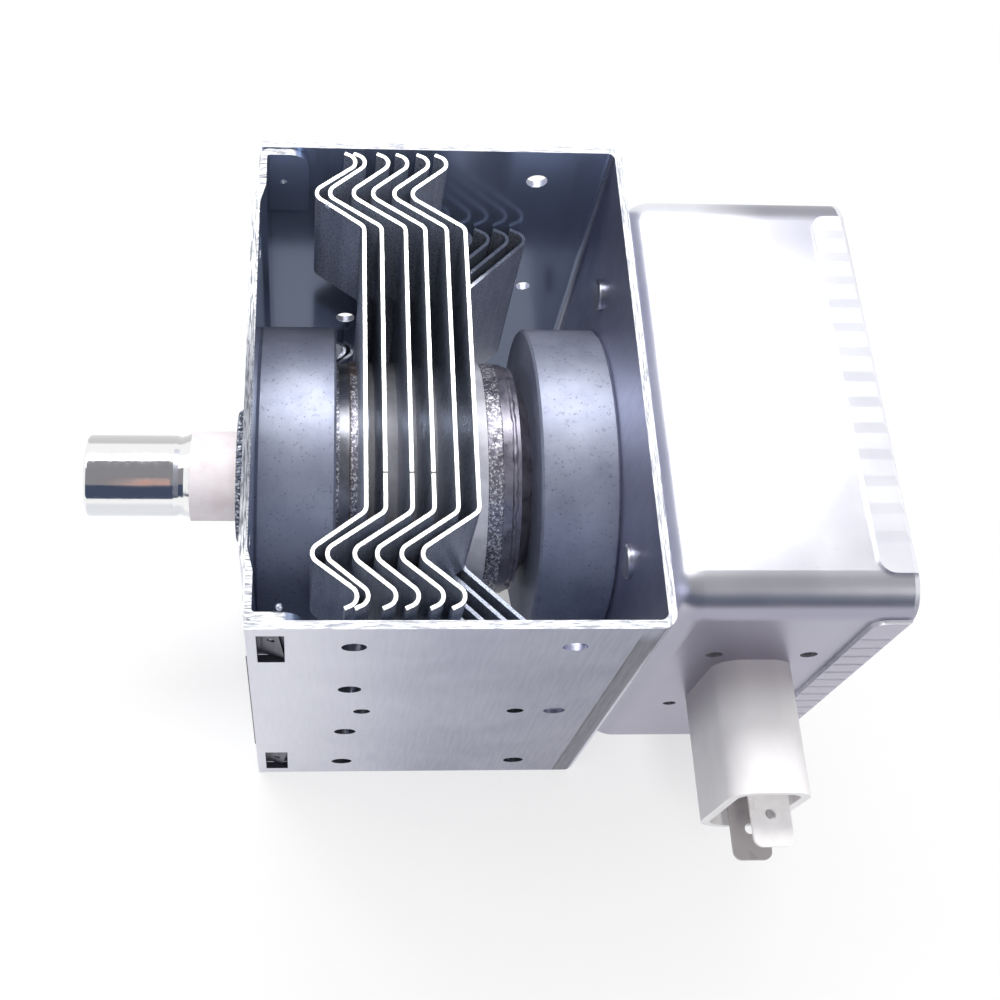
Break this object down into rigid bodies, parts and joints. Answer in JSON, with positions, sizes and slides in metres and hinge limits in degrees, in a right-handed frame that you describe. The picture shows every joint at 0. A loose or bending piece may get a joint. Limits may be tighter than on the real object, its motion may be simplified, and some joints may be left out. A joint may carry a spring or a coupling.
{
  "type": "magnetron",
  "caption": "Microwave oven magnetron: steel yoke round ring magnets and zigzag cooling fins, a capped antenna at one end and a filter box with a blade connector at the other",
  "frame": {"origin": "On the tube's axis, on the outer face of the yoke plate, which is the face that seats against the waveguide", "axes": "X runs along the tube from the antenna to the filter box, so the antenna points to -X. The connector points to -Y. Z runs through the yoke's two open sides, along the cooling air, and the part lies on its -Z side."},
  "size_m": [0.1293, 0.1054, 0.0899],
  "materials": {
    "yoke_steel": "zinc-plated sheet steel, dull grey with fine scuffs, bright at its cut edges",
    "plate_steel": "zinc-plated sheet steel, dull grey",
    "magnet_ferrite": "sintered ferrite, dark blue grey and matt, with pale speckles",
    "anode_copper": "nickel-flashed copper tube, satin, browned towards its end",
    "tube_steel": "plated deep-drawn steel",
    "cup_steel": "plated deep-drawn steel with brazing marks",
    "inner_copper": "bare copper",
    "antenna_ceramic": "unglazed alumina, warm white",
    "stem_ceramic": "unglazed alumina, white",
    "antenna_cap": "bright plated cap",
    "gasket_mesh": "woven metal wire, dark between the wires",
    "cathode_metal": "molybdenum and tungsten, dull grey",
    "box_steel": "bright plated deep-drawn steel",
    "lid_steel": "bright plated sheet steel",
    "rivet_steel": "plated steel rivets",
    "connector_plastic": "moulded resin, cream white and matt",
    "terminal_metal": "tinned blade",
    "choke_wire": "enamelled copper wire",
    "choke_ferrite": "ferrite rod, dark grey",
    "fin_aluminium": "bare rolled aluminium sheet with bright edges"
  },
  "bodies": {
    "root": {"yoke_frame": "yoke_steel", "yoke_plate": "plate_steel", "magnet_antenna_side": "magnet_ferrite", "magnet_filter_side": "magnet_ferrite", "anode_shell": "anode_copper", "pole_piece_antenna_side": "tube_steel", "pole_piece_filter_side": "tube_steel", "strap_small_antenna_side": "inner_copper", "strap_large_antenna_side": "inner_copper", "strap_small_filter_side": "inner_copper", "strap_large_filter_side": "inner_copper", "seal_cup_antenna_side": "cup_steel", "seal_cup_filter_side": "cup_steel", "antenna_ceramic": "antenna_ceramic", "exhaust_tube": "inner_copper", "antenna_lead": "inner_copper", "antenna_cap": "antenna_cap", "gasket": "gasket_mesh", "gasket_washer": "tube_steel", "stem_ceramic": "stem_ceramic", "filament": "cathode_metal", "end_hat_antenna_side": "cathode_metal", "end_hat_filter_side": "cathode_metal", "cathode_lead_centre": "cathode_metal", "cathode_lead_side": "cathode_metal", "filter_box": "box_steel", "filter_lid": "lid_steel", "box_rivets": "rivet_steel", "connector_shell": "connector_plastic", "capacitor_block": "connector_plastic", "terminal_front": "terminal_metal", "terminal_rear": "terminal_metal", "choke_coil_front": "choke_wire", "choke_coil_rear": "choke_wire", "choke_core_front": "choke_ferrite", "choke_core_rear": "choke_ferrite", "cooling_fin_1": "fin_aluminium", "cooling_fin_2": "fin_aluminium", "cooling_fin_3": "fin_aluminium", "cooling_fin_4": "fin_aluminium", "cooling_fin_5": "fin_aluminium", "cooling_fin_6": "fin_aluminium", "vane_1": "inner_copper", "vane_2": "inner_copper", "vane_3": "inner_copper", "vane_4": "inner_copper", "vane_5": "inner_copper", "vane_6": "inner_copper", "vane_7": "inner_copper", "vane_8": "inner_copper", "vane_9": "inner_copper", "vane_10": "inner_copper"}
  },
  "joints": []
}
